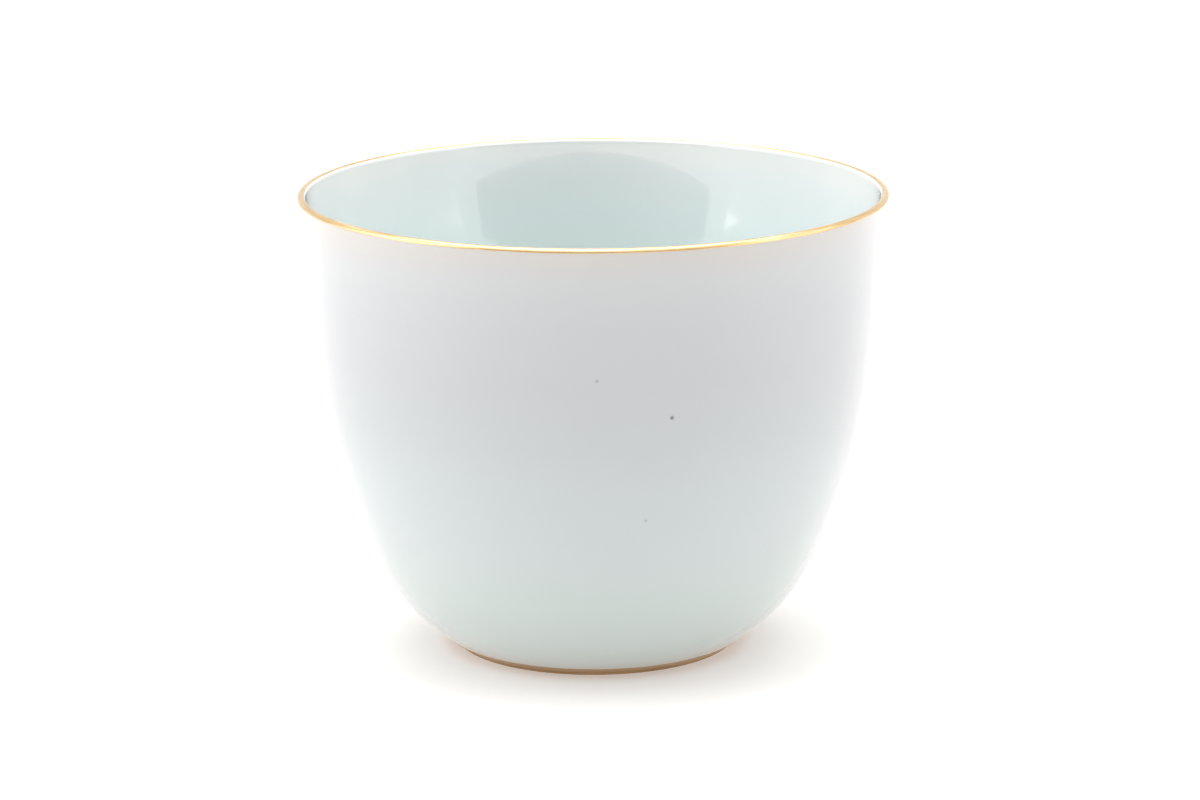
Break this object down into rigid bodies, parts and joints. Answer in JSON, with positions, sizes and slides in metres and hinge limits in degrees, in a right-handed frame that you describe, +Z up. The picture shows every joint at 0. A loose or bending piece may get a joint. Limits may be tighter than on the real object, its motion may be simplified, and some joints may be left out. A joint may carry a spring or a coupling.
{
  "type": "teacup",
  "caption": "Small handleless teacup: deep round bowl on a low turned foot ring, pale glazed porcelain with a thin gilded lip and a gilded foot edge.",
  "frame": {"origin": "centre of the foot ring's bearing plane, on the surface that the cup stands on", "axes": "+Z up along the cup's axis of symmetry; X and Y are alike, since the cup is round"},
  "size_m": [0.068, 0.068, 0.0533],
  "materials": {
    "porcelain_body": "bare fired porcelain, smooth and matt on the foot ring",
    "outer_glaze": "clear glossy glaze with a faint blue-green tint",
    "inner_glaze": "clear glossy glaze with a faint blue-green tint, a little deeper where it pools",
    "base_glaze": "clear glossy glaze with a faint blue-green tint",
    "lip_gilding": "bright fired gold, hand banded",
    "foot_gilding": "fired gold, a little duller where the cup is set down"
  },
  "bodies": {
    "root": {"porcelain_body": "porcelain_body", "outer_glaze": "outer_glaze", "inner_glaze": "inner_glaze", "base_glaze": "base_glaze", "lip_gilding": "lip_gilding", "foot_gilding": "foot_gilding"}
  },
  "joints": []
}
